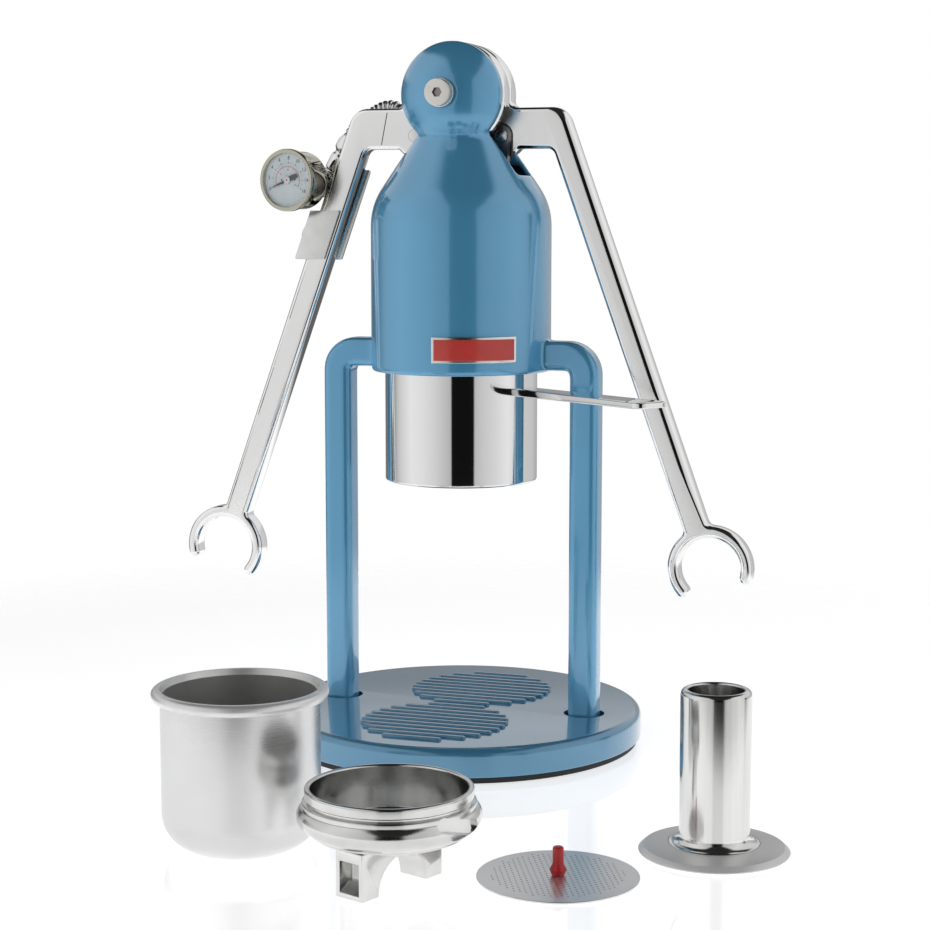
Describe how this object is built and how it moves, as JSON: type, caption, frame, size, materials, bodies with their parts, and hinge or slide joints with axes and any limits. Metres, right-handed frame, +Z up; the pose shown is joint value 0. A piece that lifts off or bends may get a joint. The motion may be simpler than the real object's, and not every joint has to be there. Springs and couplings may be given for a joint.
{
  "type": "manual lever espresso machine",
  "caption": "Manual espresso machine: a round base and leg frame carry a torso whose lever arms press a piston, with a loose basket, spout, screen and tamper.",
  "frame": {"origin": "underside of the rubber mat, under the machine's upright axis", "axes": "+Z up, -Y the front with the gauge and badge place, +X the right hand arm's side"},
  "size_m": [0.3148, 0.3313, 0.3205],
  "materials": {
    "paint": "glossy blue enamel",
    "chrome": "mirror polish",
    "steel": "brushed",
    "brass": "machined",
    "rubber": "matt black",
    "silicone": "matt red",
    "enamel": "glossy red enamel",
    "dial": "matt",
    "needle": "satin",
    "glass": "clear"
  },
  "bodies": {
    "body": {"base": "paint", "base_mat": "rubber", "base_screw_left": "steel", "base_screw_right": "steel", "body": "paint", "axle": "steel", "axle_cap": "steel", "axle_nut": "steel", "axle_washer": "steel", "group_ring": "steel", "guide_plate": "steel", "guide_bush": "brass", "badge": "enamel"},
    "right_arm": {"right_arm": "chrome", "right_link_pin": "steel"},
    "left_arm": {"left_arm": "chrome", "left_link_pin": "steel", "gauge_bezel": "chrome", "gauge_block": "steel", "gauge_bracket": "steel", "gauge_case": "steel", "gauge_dial": "dial", "gauge_lens": "glass", "bracket_screw": "steel", "hose": "steel", "hose_ferrule": "chrome"},
    "gauge_needle": {"gauge_needle": "needle"},
    "right_link": {"right_link": "steel"},
    "left_link": {"left_link": "steel"},
    "piston": {"piston_rod": "steel", "piston": "steel", "piston_seal": "rubber", "clevis_pin_left": "steel", "clevis_pin_right": "steel", "hose_tail": "steel"},
    "portafilter": {"portafilter": "chrome", "portafilter_handle": "chrome"},
    "basket": {"basket": "steel"},
    "screen": {"screen": "steel", "screen_grip": "silicone"},
    "spout": {"spout": "chrome"},
    "tamper": {"tamper_base": "steel", "tamper_handle": "steel"}
  },
  "joints": [
    {"name": "right_arm_swing", "type": "hinge", "parent": "body", "child": "right_arm", "pos_m": [0, 0, 0.297], "axis": [0, -1, 0], "range_deg": [0, 100]},
    {"name": "left_arm_swing", "type": "hinge", "parent": "body", "child": "left_arm", "pos_m": [0, 0, 0.297], "axis": [0, 1, 0], "range_deg": [0, 100], "deforming": ["hose"]},
    {"name": "right_link_pivot", "type": "hinge", "parent": "right_arm", "child": "right_link", "pos_m": [0.019, 0, 0.279], "axis": [0, -1, 0], "range_deg": [-100, 0]},
    {"name": "left_link_pivot", "type": "hinge", "parent": "left_arm", "child": "left_link", "pos_m": [-0.019, 0, 0.279], "axis": [0, 1, 0], "range_deg": [-100, 0]},
    {"name": "piston_slide", "type": "slide", "parent": "body", "child": "piston", "axis": [0, 0, 1], "range_m": [0, 0.04]},
    {"name": "portafilter_twist", "type": "hinge", "parent": "body", "child": "portafilter", "pos_m": [0, 0, 0.166], "axis": [0, 0, 1], "range_deg": [-50, 0]},
    {"name": "gauge_needle_turn", "type": "hinge", "parent": "left_arm", "child": "gauge_needle", "pos_m": [-0.0764, -0.022, 0.2592], "axis": [-0.1564, -0.9877, 0], "range_deg": [-232, 0]},
    {"name": "basket_lift", "type": "slide", "parent": "body", "child": "basket", "axis": [0, 0, 1], "range_m": [0, 0.1]},
    {"name": "screen_lift", "type": "slide", "parent": "body", "child": "screen", "axis": [0, 0, 1], "range_m": [0, 0.1]},
    {"name": "spout_lift", "type": "slide", "parent": "body", "child": "spout", "axis": [0, 0, 1], "range_m": [0, 0.1]},
    {"name": "tamper_lift", "type": "slide", "parent": "body", "child": "tamper", "axis": [0, 0, 1], "range_m": [0, 0.1]}
  ],
  "couplings": [
    {"joint": "left_arm_swing", "follows": "right_arm_swing", "ratio": 1},
    {"joint": "right_link_pivot", "follows": "right_arm_swing", "ratio": -1},
    {"joint": "left_link_pivot", "follows": "right_arm_swing", "ratio": -1},
    {"joint": "piston_slide", "follows": "right_arm_swing", "m_per_rad": 0.022918}
  ]
}
